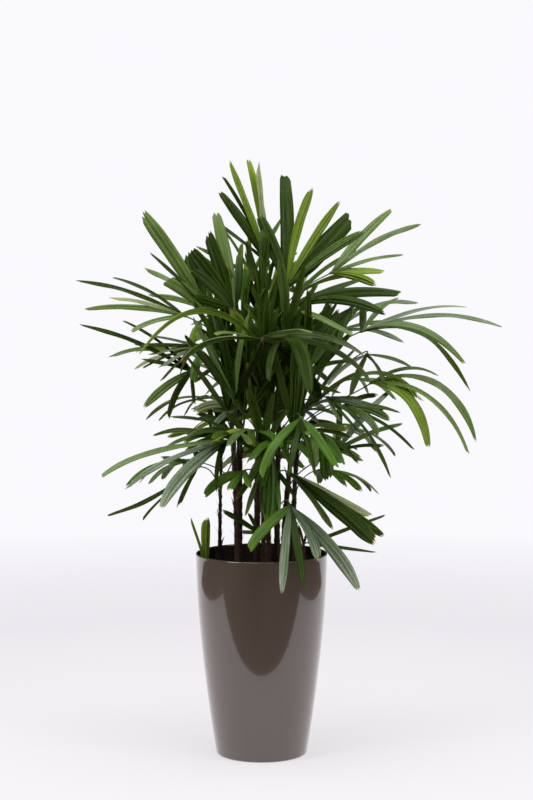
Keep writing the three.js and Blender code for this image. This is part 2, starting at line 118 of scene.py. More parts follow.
# The fronds further back, with even blades: the same up to droop, then how many blades, the fan's
# angle and the reach of its middle blades. Those that show between the front ones, or that leave the
# crown's edge open, have looks too.
FULL_FRONDS = """
1 930 -50 -105 1046 -95 84 0 6 7 66 315: d18 g12 d16 g14 d18 d14 d16
2 1010 5 -65 1115 -85 80 0 8 7 84 290
5 880 98 -105 1000 -92 85 0 6 5 36 310
3 830 5 -120 930 -100 78 0 12 6 100 210
8 980 15 110 1120 92 76 0 12 6 100 280
6 1080 -95 60 1200 170 74 0 12 6 100 280: d16 v14 d14 d12 g16 d18
7 1000 120 70 1150 20 72 0 12 6 100 280
1 1240 -60 60 1385 130 58 0 20 5 100 260: d20 d18 g16 d20 g18
6 1160 -150 210 1340 112 46 0 30 5 100 300: d14 d12 g10 g14 g16
6 1050 -220 190 1210 138 22 0 50 5 130 280: p11 d9 p7 g11 o9
6 900 -160 240 1070 118 8 0 60 5 140 270: d9 d9 d6 g6 d6
7 1070 230 230 1280 45 32 0 45 6 140 330: p12 g10 p10 d9 g12 d14
7 950 270 210 1130 34 14 0 60 5 150 290: g9 p10 g9 p8 g10
7 830 220 260 980 50 4 0 65 5 150 280: p9 g8 v9 g10 p9
8 970 20 330 1160 90 22 0 60 6 170 320: d16 d16 g14 v14 d10 g9
8 870 -60 320 1010 110 8 0 65 5 150 300
8 800 60 330 930 85 12 0 60 5 150 250
2 1290 -30 160 1450 96 56 0 20 5 90 290: d12 d10 d10 d9 d12
4 1280 110 190 1400 70 46 0 30 5 110 310: d14 d12 g10 d12 d14
6 780 -220 170 880 150 4 0 60 5 120 240
7 740 180 180 850 30 4 0 60 5 120 230
2 1180 -20 250 1280 95 32 0 45 6 150 320: g12 d12 g12 d12 g10 p10
"""
BACK_FROM = 40

# Fronds that fill the crown's middle, in FULL_FRONDS' columns. The solids have none of these and
# none of the next table's.
INNER_FRONDS = """
2 1250 0 -20 1320 -90 84 60 10 7 80 205
1 1120 -70 -60 1205 -100 80 0 10 6 70 290: d14 d12 g12 d14 d12 d14
4 1130 70 -70 1220 -80 80 0 10 6 70 290
2 1080 10 -20 1180 -90 84 75 8 7 80 320
5 1020 125 -60 1130 -60 76 0 12 6 70 310
1 940 -100 -60 1050 -118 80 20 12 6 48 310: d14 g12 d16 d12 d14 d12
3 900 40 -60 1010 -80 84 0 8 7 70 310
2 930 -20 0 1040 90 84 80 8 7 90 320
6 980 -90 110 1100 110 76 70 12 6 80 310: g12 d14 d12 g14 d12 d12
8 860 20 140 990 90 76 50 12 6 80 310
7 900 130 110 1030 50 74 60 12 6 80 310: d10 d12 d10 d9 g10 d12
4 1210 60 60 1300 60 78 70 12 6 80 220
6 1140 -90 120 1240 120 72 60 14 6 80 260
8 1010 40 190 1150 90 66 0 18 6 90 290
1 890 -80 -110 985 -125 24 0 50 6 150 190: d18 d14 g16 d16 g12 d14
2 880 -30 -90 1000 -100 14 0 60 6 150 180
4 880 45 -115 975 -85 4 0 60 6 140 190
5 850 100 -90 990 -60 26 0 50 6 150 200: d14 d12 g12 d12 g12 d14
6 860 -110 90 960 130 20 0 55 6 150 220
7 820 120 120 930 40 20 0 55 6 150 220
8 780 0 180 900 90 16 0 60 6 150 220
7 900 125 100 1040 12 34 0 60 6 150 170: p10 g10 p9 d10 g12 d10
5 860 110 30 1000 -5 20 20 70 6 150 160: d12 g10 p10 d11 g10 d12
6 860 -95 110 1010 125 44 0 50 6 110 170: d8 d9 v8 d7 d9 d9
1 900 -95 20 1040 184 30 -20 60 6 150 120: d9 g9 d8 g9 d10 d9
4 1000 90 60 1130 20 60 60 30 6 120 230: d12 g10 d10 d12 g12 d14
6 1020 -95 90 1130 135 70 -60 26 6 80 200: d12 d12 g10 d12 p10 p8
"""
INNER_FROM = 100

# Small and slim-bladed fronds at the front, in FRONT_FRONDS' columns
EXTRA_FRONDS = """
1 960 -70 -60 1063 180 15 -70 70: -10 150 o26, 30 120 p18, -40 70 g12
3 830 25 -110 953 -90 -78 0 4: -2 235 v44, -32 125 g24, -14 135 v22
2 600 -11 -60 689 180 40 -60 20: 0 130 d17, -35 70 d10, 30 60 g10
4 950 118 -70 1088 180 -12 -70 12: 0 215 d18, 12 150 g9, -14 120 d8
7 600 150 60 640 0 9 60 6: 15 250 d10, -15 210 d9
1 1060 -197 -20 1250 190 -12 -60 14: -34 150 p6, -20 190 d5, -8 150 o6, 4 180 d6, 14 140 p5,
  28 160 d6, 44 110 o8
1 1150 -184 -60 1321 200 -60 -20 20: 0 85 b24, 25 60 b14, -20 50 v10
1 1050 -184 -60 1228 200 -70 -20 10: 0 95 v26, -25 60 v14, 24 45 g10
5 940 200 -60 1095 -5 -12 50 14: 0 190 p26, -18 120 d8, -34 150 d7, 20 110 d8, -50 90 g10
2 760 15 -45 905 -95 -40 10 30: -42 170 d16, -21 200 g14, -2 190 d18, 18 210 v12, 40 180 d14
"""
EXTRA_FROM = 140

TINT_LETTERS = {"d": "deep", "g": "green", "v": "vivid", "b": "bright", "o": "olive", "p": "pale"}
SLIMMEST_BLADE = 24  # a blade that shows less than this is turned away rather than slimmer
FULLEST_SHOW = 0.96  # share of its width that a blade with a look shows at most

# The young fan that each cane ends in
SPEAR_ROOT = 70  # its stalk leaves the cane this far under the top
SPEAR_STANDS = 0.1  # how far it stands over the top, as a share of that
SPEAR_RISE = 84
SPEAR_DROOP = 8
SPEAR_BLADES = 5
SPEAR_FAN = 34
SPEAR_REACH = 190
SPEARS_FROM = 160

# name, foot x, foot y, stub height, stub radius, aim, rise, roll, droop, blade width, blades, looks
SHOOTS = [
    ["green_shoot", -165, -55, 30, 5, 180, 84, -80, 4, 26, [[-6, 150], [11, 150]], ["b27", "d7"]],
    ["dried_shoot", 128, -20, 75, 7, 180, 80, -60, 10, 9,
     [[-25, 60], [-2, 75], [30, 65], [60, 45]], []],
]
SHOOTS_FROM = 80
SHOOT_SINKS = 8

STALK_RADIUS = 3.2
STALK_BOW = 0.38
HUB_RADIUS = 8
BLADE_WIDTH = 37
BLADE_STEPS = 4
BLADE_SLENDER = 95
BLADE_LEAST_THICKNESS = 2.6
BLADE_BEND_POWER = 1.3
BLADE_STEEPEST = 85
TIP_LOSS = 0.5
OUTER_SHARE = 0.72
TURN_PLAY = 9
LIFT_PLAY = 8
TWIST_PLAY = 50
LENGTH_PLAY = 0.16
DROOP_PLAY = 0.2
WIDTH_PLAY = 0.6

# Ways in which a solid blade may have given way to its neighbours: extra turn in the fan, lift out
# of it, share of the length
BLADE_WAYS = [
    [0, 0, 1], [0, 6, 1], [0, -6, 1], [5, 0, 1], [-5, 0, 1], [0, 12, 1], [0, -12, 1],
    [9, 5, 0.95], [-9, -5, 0.95], [0, 18, 0.9], [0, -18, 0.9], [4, 9, 0.75], [-4, -9, 0.75],
    [0, 0, 0.6],
]
# and a stalk: sideways and upward shift of its middle
STALK_WAYS = [
    [0, 0], [15, 0], [-15, 0], [0, 15], [0, -15], [30, 0], [-30, 0], [30, 20], [-30, 20],
    [50, 0], [-50, 0],
]


# ---------- The solids' rule

CHANCE_START = 7
CHANCE_STEP = 31
CHANCE_FACTOR = 48271
CHANCE_LIMIT = 2**31 - 1
TURN_DONE = 0.3  # share of a blade over which it takes its own turn, which the solids don't have
SAME_PLACE = 0.6  # a blade's end within this of a solid's corners is the solid's blade
UNDERSIDE = 0.35  # how far a solid blade's corners lie under its middle, as a share of its thickness
STALK_CHECKS = np.array([0.4, 0.6, 0.8])  # where along a stalk its way is told


def chance(*keys):
    """A repeatable number from 0 to 1 for each set of whole-number keys. The last key tells one
    kind of draw from the others."""
    n = CHANCE_START
    for key in keys:
        n = ((n * CHANCE_STEP + key + 1) * CHANCE_FACTOR) % CHANCE_LIMIT
    return n / CHANCE_LIMIT


def unit(vector):
    return vector / np.linalg.norm(vector)


def compass(azimuth, rise):
    """A direction, from its angle round Z and its angle over the level."""
    a, r = math.radians(azimuth), math.radians(rise)
    return np.array([math.cos(r) * math.cos(a), math.cos(r) * math.sin(a), math.sin(r)])


def turned(vector, axis, angle):
    """A vector turned about a unit axis, or a row of them, one for each angle."""
    angle = np.asarray(angle, float)[..., None]
    level = np.cross(axis, vector)
    along = axis * np.sum(axis * vector, axis=-1, keepdims=True)
    return vector * np.cos(angle) + level * np.sin(angle) + along * (1 - np.cos(angle))


def even_blades(count, fan, reach, index):
    """The turns and lengths of blades spread over a fan, each with a little play."""
    blades = []
    for i in range(count):
        spot = 2 * i / (count - 1) - 1
        turn = spot * fan / 2 + (chance(index, i, 1) - 0.5) * TURN_PLAY
        share = 1 - (1 - OUTER_SHARE) * spot * spot
        blades.append([turn, reach * share * (1 + (chance(index, i, 2) - 0.5) * LENGTH_PLAY)])
    return blades


def make_fan(name, index, hub, aim, rise, roll, droop, width, blades, looks=()):
    """A fan of blades at a hub, with its directions ahead, to its side and out of its face."""
    ahead = compass(aim, rise)
    level = compass(aim + 90, 0)
    above = np.cross(ahead, level)
    r = math.radians(roll)
    side = level * math.cos(r) + above * math.sin(r)
    return SimpleNamespace(
        name=name, index=index, hub=np.array(hub, float), ahead=ahead, side=side,
        normal=np.cross(ahead, side), droop=droop, width=width, blades=blades, looks=looks)


def blade_plan(fan, blade, way):
    """A blade's length, bend, width and twist, and its first directions: along it and across it.
    The solids have no turn and no arch of their own."""
    more_turn, more_lift, share = way
    play = lambda channel, spread: (chance(fan.index, blade, channel) - 0.5) * spread
    turn, length = fan.blades[blade]
    in_fan = math.radians(turn + more_turn)
    out_of_fan = math.radians(more_lift + play(3, LIFT_PLAY))
    flat = fan.ahead * math.cos(in_fan) + fan.side * math.sin(in_fan)
    along = flat * math.cos(out_of_fan) + fan.normal * math.sin(out_of_fan)
    return SimpleNamespace(
        along=along,
        across=unit(np.cross(fan.normal, along)),
        length=length * share,
        droop=math.radians(fan.droop * (1 + play(4, DROOP_PLAY))),
        width=fan.width * (1 + play(5, WIDTH_PLAY)),
        twist=math.radians(play(6, TWIST_PLAY)),
        turn=0,
        arch=0,
    )


def blade_frames(fan, plan, steps):
    """At even steps along a blade: its middle, and its directions across and out of its face."""
    hinge = np.cross(UP, unit(plan.along * [1, 1, 0]))
    most_bend = math.asin(plan.along[2]) + math.radians(BLADE_STEEPEST)
    bend = lambda t: np.minimum(plan.droop * t**BLADE_BEND_POWER, most_bend)
    t = np.linspace(0, 1, steps + 1)
    ahead = turned(plan.along, hinge, bend(t))
    across = turned(plan.across, hinge, bend(t))
    across = turned(across, ahead, plan.twist * t + plan.turn * np.minimum(1, t / TURN_DONE))
    strides = turned(plan.along, hinge, bend(t[:-1] + 0.5 / steps)) * plan.length / steps
    middle = fan.hub + np.vstack([np.zeros(3), np.cumsum(strides, axis=0)])
    middle = middle + UP * (plan.arch * np.sin(np.pi * t))[:, None]
    return middle, across, np.cross(ahead, across)


def bezier(points, t):
    """Points at the parameters t on a Bezier curve of any degree."""
    t = np.asarray(t, float)[..., None]
    points = [np.asarray(p, float) for p in points]
    while len(points) > 1:
        points = [a * (1 - t) + b * t for a, b in zip(points, points[1:])]
    return points[0]


def cane_controls(cane):
    foot_x, foot_y, top_x, top_y, top_z, _ = cane
    middle_z = (SOIL_LEVEL + top_z) / 2
    return [[foot_x, foot_y, SOIL_LEVEL + GAP], [foot_x, foot_y, middle_z], [top_x, top_y, top_z]]


def cane_at(cane, z):
    """The point on a cane's middle line at a height."""
    line = bezier(cane_controls(cane), np.linspace(0, 1, 2001))
    return point_at(line, z, line[:, 2])


def point_at(line, value, values):
    """The point of a line at a value, from the values at its points."""
    return np.array([np.interp(value, values, line[:, axis]) for axis in range(3)])


def stalk_controls(fan, start, way):
    """A leaf stalk rises along its cane and flows into the fan's middle."""
    shift, lift = way
    reach = fan.hub - start
    bow = STALK_BOW * np.linalg.norm(reach)
    aside = unit(np.cross(reach, UP)) * shift + UP * lift
    return [start, start + UP * bow + aside, fan.hub - fan.ahead * bow + aside, fan.hub]


def solid_points(name):
    """A solid's corners, in millimetres."""
    return np.array([v.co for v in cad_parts[name].data.vertices], float) / MM


def misses(points, solid):
    """How far each of some points is from the nearest corner of a solid."""
    return np.linalg.norm(points[:, None, :] - solid[None, :, :], axis=-1).min(axis=1)


def grown_plan(fan, blade, solid):
    """The plan by which the solid's blade grew, or the plainest one where no solid has the blade."""
    plans = [blade_plan(fan, blade, way) for way in BLADE_WAYS]
    if solid is None:
        return plans[0]

    def miss(plan):
        middle, across, face = (rows[-1] for rows in blade_frames(fan, plan, BLADE_STEPS))
        half = plan.width * (1 - TIP_LOSS) / 2
        thick = max(BLADE_LEAST_THICKNESS, plan.length / BLADE_SLENDER)
        ends = [middle + across * x * half - face * UNDERSIDE * thick for x in (-1, 1)]
        return misses(np.array(ends), solid).max()

    best = min(plans, key=miss)
    return best if miss(best) < SAME_PLACE else plans[0]


def grown_stalk(fan, start, solid):
    """The curve by which the solid's stalk grew, or the plainest one where there is no solid."""
    curves = [stalk_controls(fan, start, way) for way in STALK_WAYS]
    if solid is None:
        return curves[0]
    off = lambda curve: np.abs(misses(bezier(curve, STALK_CHECKS), solid) - STALK_RADIUS).max()
    return min(curves, key=off)


# ---------- Joined meshes

def put(name, data):
    """An object of some data, placed in the scene."""
    made = bpy.data.objects.new(name, data)
    bpy.context.scene.collection.objects.link(made)
    return made


def once_round(sides):
    """Even angles once round, one for each side."""
    return np.arange(sides) * 2 * np.pi / sides


def lengths_along(line):
    """How much of a line lies before each of its points."""
    return np.concatenate([[0], np.cumsum(np.linalg.norm(np.diff(line, axis=0), axis=1))])


def pairs(columns, rows):
    """Texture coordinates of rings: a column's value and a row's."""
    return np.stack(np.broadcast_arrays(columns, rows[:, None]), axis=-1)


class Heap:
    """The points, faces and texture coordinates of one joined piece. Points come in millimetres."""

    def __init__(self):
        self.points, self.faces, self.uvs, self.count = [], [], [], 0

    def add(self, points, uvs, caps=None):
        """Adds a tube of rings of points, with flat ends unless it comes with caps of its own."""
        rings, sides = points.shape[:2]
        ring = range(sides)
        faces = [[i * sides + j, i * sides + k, (i + 1) * sides + k, (i + 1) * sides + j]
                 for i in range(rings - 1) for j, k in zip(ring, [*ring[1:], 0])]
        faces += caps or [[*ring][::-1], [(rings - 1) * sides + j for j in ring]]
        self.faces.extend([self.count + corner for corner in face] for face in faces)
        self.points.append(points.reshape(-1, 3))
        self.uvs.append(uvs.reshape(-1, 2))
        self.count += rings * sides

    def piece(self, name, slot, material, *nodes, sharp=40):
        """Makes the piece, which stands for the nodes. Edges sharper than an angle stay crisp."""
        mesh = bpy.data.meshes.new(name)
        mesh.from_pydata((np.vstack(self.points) * MM).tolist(), [], self.faces)
        corners = np.empty(len(mesh.loops), int)
        mesh.loops.foreach_get("vertex_index", corners)
        layer = mesh.uv_layers.new(name="UVMap")
        layer.data.foreach_set("uv", np.vstack(self.uvs)[corners].ravel().astype(np.float32))
        mesh.shade_smooth()
        mesh.set_sharp_from_angle(angle=math.radians(sharp))
        mesh.materials.append(material)
        mesh.validate()
        piece = put(name, mesh)
        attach(piece, "root")
        if nodes:
            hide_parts(*nodes)


def line_frames(line):
    """Two directions across a line at each of its points, carried along it without a twist."""
    ahead = np.gradient(line, axis=0)
    ahead /= np.linalg.norm(ahead, axis=1, keepdims=True)
    right = np.empty_like(line)
    first = EAST if abs(ahead[0][0]) < 0.9 else UP
    right[0] = unit(first - ahead[0] * ahead[0].dot(first))
    for i in range(1, len(line)):
        right[i] = unit(right[i - 1] - ahead[i] * ahead[i].dot(right[i - 1]))
    return right, np.cross(ahead, right)


def tube(heap, line, radii, sides=8):
    """Adds a round tube along a line, with a radius for each point, or for each point and side.
    Texture coordinates are millimetres round it and along it."""
    line = np.asarray(line, float)
    right, back = line_frames(line)
    turn = once_round(sides)
    radii = np.asarray(radii, float)
    radii = np.broadcast_to(radii if radii.ndim > 1 else radii[:, None], (len(line), sides))
    out = right[:, None] * np.cos(turn)[:, None] + back[:, None] * np.sin(turn)[:, None]
    uvs = pairs(turn * float(np.mean(radii)), lengths_along(line))
    heap.add(line[:, None] + out * radii[..., None], uvs)


# ---------- Materials

def linear(red, green, blue):
    """A colour as shaders take it, from its values on a screen, 0 to 255."""
    lit = [c / 255 for c in (red, green, blue)]
    return tuple(c / 12.92 if c <= 0.04045 else ((c + 0.055) / 1.055) ** 2.4 for c in lit) + (1,)


def scaled(colour, share):
    return tuple(c * share for c in colour[:3]) + (1,)


class Shader:
    """A node material round one Principled shader. Values may be numbers, colours or other nodes'
    outputs."""

    def __init__(self, name):
        self.material = bpy.data.materials.new(name)
        self.material.use_nodes = True
        self.tree = self.material.node_tree
        self.main = next(n for n in self.tree.nodes if n.type == "BSDF_PRINCIPLED")

    def feed(self, inputs, values):
        """Gives inputs their values, by the inputs' names or places."""
        for key, value in values.items():
            if isinstance(value, bpy.types.NodeSocket):
                self.tree.links.new(value, inputs[key])
            else:
                inputs[key].default_value = value

    def set(self, **values):
        """Gives the Principled shader its values."""
        self.feed(self.main.inputs, {key.replace("_", " "): value for key, value in values.items()})

    def node(self, kind, values, **settings):
        """A new node with its settings and its inputs' values."""
        made = self.tree.nodes.new("ShaderNode" + kind)
        for key, value in settings.items():
            setattr(made, key, value)
        self.feed(made.inputs, values)
        return made

    def place(self, where):
        return self.node("TexCoord", {}).outputs[where]

    def noise(self, where, scale, detail=3, stretch=None, rough=0.5):
        """A noise from 0 to 1 over coordinates, which may be stretched first."""
        place = self.place(where)
        if stretch:
            place = self.node("Mapping", {"Vector": place, "Scale": stretch}).outputs["Vector"]
        values = {"Vector": place, "Scale": scale, "Detail": detail, "Roughness": rough}
        return self.node("TexNoise", values).outputs["Fac"]

    def spread(self, value, low, high, start=0.3, end=0.7):
        """Carries a value's range from start to end, or a noise's middle range, to the range from
        low to high."""
        return self.node("MapRange", dict(enumerate((value, start, end, low, high)))).outputs[0]

    def layers(self, tone, rows):
        """A colour with others laid over it: for each row its colour, by what value it shows, and
        how that is spread."""
        for over, *value in rows:
            values = {0: self.spread(*value), 6: tone, 7: over}
            tone = self.node("Mix", values, data_type="RGBA").outputs[2]
        return tone

    def calculate(self, operation, value, other=0.0):
        """Arithmetic on a value, with a number where the operation takes two."""
        return self.node("Math", {0: value, 1: other}, operation=operation).outputs[0]

    def bump(self, height, distance, strength, under=None):
        values = {"Strength": strength, "Distance": distance, "Height": height}
        if under:
            values["Normal"] = under
        return self.node("Bump", values).outputs["Normal"]


RIB_PITCH = 10  # texture units across a blade from one fold's valley to the next
BLADE_LENGTH_UNITS = 400  # texture units along every blade
LEAF_GLOW = {"Subsurface_Weight": 0.2, "Subsurface_Scale": 0.002, "Subsurface_Radius": (0.9, 1, 0.3)}


def leaf_material(name, colour, vein_colour, roughness=0.3, gloss=0.22, ribs=0.6, root=110):
    """A leaf: fine veins along the blade, by its own coordinates, paler rib crests that are partly
    the ribs' own colour and partly a painted highlight, painted shade in the folds' valleys, each
    fold in a tone of its own, painted shade at the root, a tip painted paler as if lit from behind,
    a waxy, uneven gloss and some light let through."""
    shader = Shader(name)
    colour, vein = linear(*colour), linear(*vein_colour)
    darker = scaled(colour, 0.6)
    parts = shader.node("SeparateXYZ", {0: shader.place("UV")})
    along = parts.outputs["Y"]
    across = shader.calculate("MULTIPLY", parts.outputs["X"], 1 / RIB_PITCH)
    fold = shader.calculate("FLOOR", across)
    own = shader.node("TexWhiteNoise", {"W": fold}, noise_dimensions="1D").outputs["Value"]
    in_fold = shader.calculate("SUBTRACT", shader.calculate("FRACT", across), 0.5)
    from_rib = shader.calculate("ABSOLUTE", in_fold)
    veins = shader.noise("UV", 1.0, detail=2, stretch=(0.9, 0.01, 1))
    cloud = shader.noise("Object", 11.0)
    tone = shader.layers(darker, [
        (scaled(colour, 1.15), own, 0.1, 1, 0, 1),
        (vein, veins, 0, 0.6),
        # paler rib crests: partly the ribs' own colour, partly a painted highlight
        (vein, from_rib, ribs, 0, 0.02, 0.13),
        # painted shade in each fold's valley
        (darker, from_rib, 0, 0.3, 0.36, 0.5),
        # painted shade at the root
        (darker, along, 0.6, 0, 0, root),
        # a tip painted paler, as if lit from behind
        (vein, along, 0, 0.9, BLADE_LENGTH_UNITS - 90, BLADE_LENGTH_UNITS),
        (darker, cloud, 0, 0.45),
    ])
    shader.set(Base_Color=tone, Roughness=shader.spread(cloud, roughness - 0.06, roughness + 0.1),
               Normal=shader.bump(veins, 0.0003, 0.25), Specular_IOR_Level=gloss, IOR=1.35, **LEAF_GLOW)
    return shader.material


def bark_material(name, dark, light):
    """Fibrous sheath: long fibres up the cane over a coarser mottle."""
    shader = Shader(name)
    dark = linear(*dark)
    fibres = shader.noise("UV", 1.0, detail=4, stretch=(1.3, 0.12, 1), rough=0.6)
    mottle = shader.noise("Object", 60.0, detail=4)
    tone = shader.layers(dark, [
        (linear(*light), fibres, 0, 1, 0.42, 0.68),
        (scaled(dark, 0.45), mottle, 0, 0.7),
    ])
    relief = shader.bump(mottle, 0.001, 0.5, under=shader.bump(fibres, 0.0012, 0.9))
    shader.set(Base_Color=tone, Roughness=0.82, Specular_IOR_Level=0.2, Normal=relief)
    return shader.material


def pot_material():
    """High-gloss taupe lacquer with a trace of orange peel and a fine pearl fleck. The inside wall,
    whose face looks at the axis, is darkened with painted shade."""
    shader = Shader("pot_lacquer")
    fleck = shader.noise("Object", 900.0, detail=1)
    peel = shader.noise("Object", 70.0, detail=2)
    outward = shader.node("VectorMath", {0: shader.place("Object"), 1: (1, 1, 0)}, operation="MULTIPLY")
    inner_wall_shade = shader.node("VectorMath", {0: outward.outputs[0], 1: shader.place("Normal")},
                        operation="DOT_PRODUCT")
    tone = shader.layers(linear(79, 67, 58), [
        (linear(86, 74, 65), fleck, 0, 1),
        # painted shade on the inside wall, where its face looks at the axis
        (linear(34, 28, 25), inner_wall_shade.outputs["Value"], 1, 0, -0.12, -0.02),
    ])
    shader.set(Base_Color=tone, Roughness=shader.spread(peel, 0.10, 0.16), Coat_Weight=1.0,
               Coat_Roughness=0.03, Coat_IOR=1.6, Normal=shader.bump(peel, 0.00008, 0.25))
    return shader.material


def soil_material():
    shader = Shader("potting_soil")
    grain = shader.noise("Object", 260.0, detail=5, rough=0.7)
    tone = shader.layers(linear(24, 16, 13), [
        (linear(56, 40, 30), grain, 0, 1, 0.35, 0.65),
        (linear(14, 10, 8), shader.noise("Object", 40.0), 0, 0.6),
    ])
    shader.set(Base_Color=tone, Roughness=0.95, Normal=shader.bump(grain, 0.002, 0.9))
    return shader.material


# Each leaf's colour, its veins' and ribs' colour, roughness, gloss, how strong its paler rib crests
# are, partly a painted highlight, and over how many texture units its root is painted in shade. The
# numbers left out are leaf_material's own. Dark is only for upright fronds inside the crown, and the
# lighter copy of deep below is what deep is further back: both are deep painted lighter, against the
# shade inside the crown. Pale's whitish veins and ribs paint a sheen along its folds.
LEAF_LOOKS = {
    # painted lighter than deep, against the shade inside the crown
    "dark": [(54, 71, 22), (76, 95, 38), 0.4, 0.1, 0.4],
    "deep": [(41, 59, 14), (60, 80, 26), 0.3, 0.18, 0.35],
    "green": [(80, 104, 44), (112, 134, 74), 0.26, 0.38],
    "vivid": [(66, 102, 26), (96, 134, 46)],
    "bright": [(104, 130, 38), (136, 160, 66), 0.3, 0.12, 0.4],
    "olive": [(134, 146, 98), (170, 178, 132)],
    # whitish veins and ribs: a painted sheen along the folds
    "pale": [(82, 103, 70), (158, 171, 146), 0.24, 0.5, 0.75, 260],
    # deep painted lighter, against the shade inside the crown
    "deep_lit_inner": [(54, 74, 20), (78, 100, 36), 0.34, 0.14, 0.4],
    "dry": [(150, 116, 74), (184, 150, 104), 0.7],
    "stalk": [(62, 92, 42), (84, 112, 60), 0.5],
}
LEAVES = {name: leaf_material("leaf_" + name, *look) for name, look in LEAF_LOOKS.items()}
DRY_SHOOT = bark_material("dry_shoot", (52, 36, 28), (96, 72, 52))
BARK = bark_material("cane_sheath", (46, 31, 27), (96, 68, 54))

# ---------- Camera, lights and studio

CAMERA_PLACE = (0.015, -6.5, 1.60)
CAMERA_PITCH = 4.55  # degrees under level
FOCAL_PIXELS = 2155
FRAME_HEIGHT = 800
SENSOR = 36.0
# name, place, what it aims at, size, power
LIGHTS = [
    ("softbox_above", (0, -0.8, 4.2), (0, 0, 0.9), (3.0, 3.0), 105),
    ("softbox_left", (-3.4, -2.6, 2.8), (0, 0, 1.1), (1.6, 2.2), 84),
    ("softbox_right", (3.4, -2.2, 2.6), (0, 0, 1.1), (1.6, 2.2), 64),
]
SKY = linear(250, 249, 253)

# The white paper under the plant: its front edge, half its width, and where it widens behind
PAPER_FRONT = -0.77
PAPER_HALF_WIDTH = 2.07
PAPER_WIDENS = 1.8
STUDIO_HALF = 12.0
PAPER_FADES = (2.3, 4.9)  # metres from the plant over which the paper melts into the backdrop
# The paper glows with painted light of its own, which keeps shadows on it faint, and glows a
# little less further from the plant
PAPER = linear(125, 123, 125)
GLOW_NEAR = linear(207, 204, 207)
GLOW_FAR = linear(199, 196, 200)
GLOW_DIMS = (0.9, 2.2)
# The dark floor beyond the paper, just under it, and on it a darker plate of painted shade, which
# the pot's gloss shows as a darker column
FLOOR_COLOUR = (70, 58, 50)
FLOOR_DEPTH = 0.002
SHADE_PLATE = ((-1.5, -3.2), (-0.03, -1.15))
SHADE_PLATE_DEPTH = 0.001
SHADE_PLATE_COLOUR = (44, 36, 32)
# The dark room round the set, which only gloss meets
ROOM_HALF = 6.0
ROOM_HEIGHT = 5.5
ROOM_COLOUR = (62, 64, 52)
# The unlit front of the room, behind the camera
WALL_AT = -5.0
WALL_HALF = 7.0
WALL_HEIGHT = 6.0
WALL_COLOUR = (58, 58, 50)
ALL_RAYS = ("camera", "glossy", "diffuse", "shadow", "transmission")


def make_camera():
    data = bpy.data.cameras.new("camera")
    data.sensor_width = SENSOR
    data.lens = FOCAL_PIXELS / FRAME_HEIGHT * SENSOR
    camera = put("camera", data)
    camera.location = CAMERA_PLACE
    camera.rotation_euler = (math.radians(90 - CAMERA_PITCH), 0, 0)
    bpy.context.scene.camera = camera


def make_lights():
    for name, place, aim, size, power in LIGHTS:
        data = bpy.data.lights.new(name, "AREA")
        data.shape = "RECTANGLE"
        data.size, data.size_y = size
        data.energy = power
        light = put(name, data)
        light.location = place
        x, y, z = np.array(place, float) - np.array(aim, float)
        light.rotation_euler = (math.atan2(math.hypot(x, y), z), 0, math.atan2(y, x) + math.pi / 2)
    world = bpy.data.worlds.new("studio_light")
    world.use_nodes = True
    background = world.node_tree.nodes["Background"]
    background.inputs["Color"].default_value = SKY
    background.inputs["Strength"].default_value = 1.0
    world.cycles.sampling_method = "NONE"  # sampled as a lamp, it would speckle the leaves
    bpy.context.scene.world = world
    view = bpy.context.scene.view_settings
    view.view_transform = "Standard"
    view.look = "None"


def paper_material():
    """White paper that fades out far from the plant, so that floor and backdrop meet unseen. It
    glows with painted light, a little less further out, which keeps shadows on it faint.
    """
    shader = Shader("studio_paper")
    far = shader.node("VectorMath", {0: shader.place("Object")}, operation="LENGTH").outputs["Value"]
    # painted glow, dimmer further from the plant
    glow = shader.layers(GLOW_NEAR, [(GLOW_FAR, far, 0, 1, *GLOW_DIMS)])
    shader.set(Base_Color=PAPER, Roughness=0.8, Specular_IOR_Level=0.0, Emission_Strength=1.0,
               Emission_Color=glow, Alpha=shader.spread(far, 1, 0, *PAPER_FADES))
    shader.material.cycles.emission_sampling = "NONE"  # as for the world's light
    return shader.material


def add_plates(name, plates, material, rays):
    """Plates of the studio, each of four corners, met by some kinds of ray."""
    mesh = bpy.data.meshes.new(name)
    mesh.from_pydata([corner for plate in plates for corner in plate], [],
                     [[4 * i + k for k in range(4)] for i in range(len(plates))])
    mesh.materials.append(material)
    plate = put(name, mesh)
    for kind in ALL_RAYS:
        setattr(plate, "visible_" + kind, kind in rays)


def add_dark_plates(name, plates, colour, rays):
    shader = Shader("studio_" + name)
    shader.set(Base_Color=linear(*colour), Roughness=0.8)
    add_plates("stage_" + name, plates, shader.material, rays)


def level(rectangles, z):
    """Plates at one height, from their near left and far right corners."""
    return [[(x0, y0, z), (x1, y0, z), (x1, y1, z), (x0, y1, z)] for (x0, y0), (x1, y1) in rectangles]


def upright_plate(x0, y0, x1, y1, height):
    """A plate that stands on the floor, over the line between two of its points."""
    return [(x0, y0, 0), (x1, y1, 0), (x1, y1, height), (x0, y0, height)]


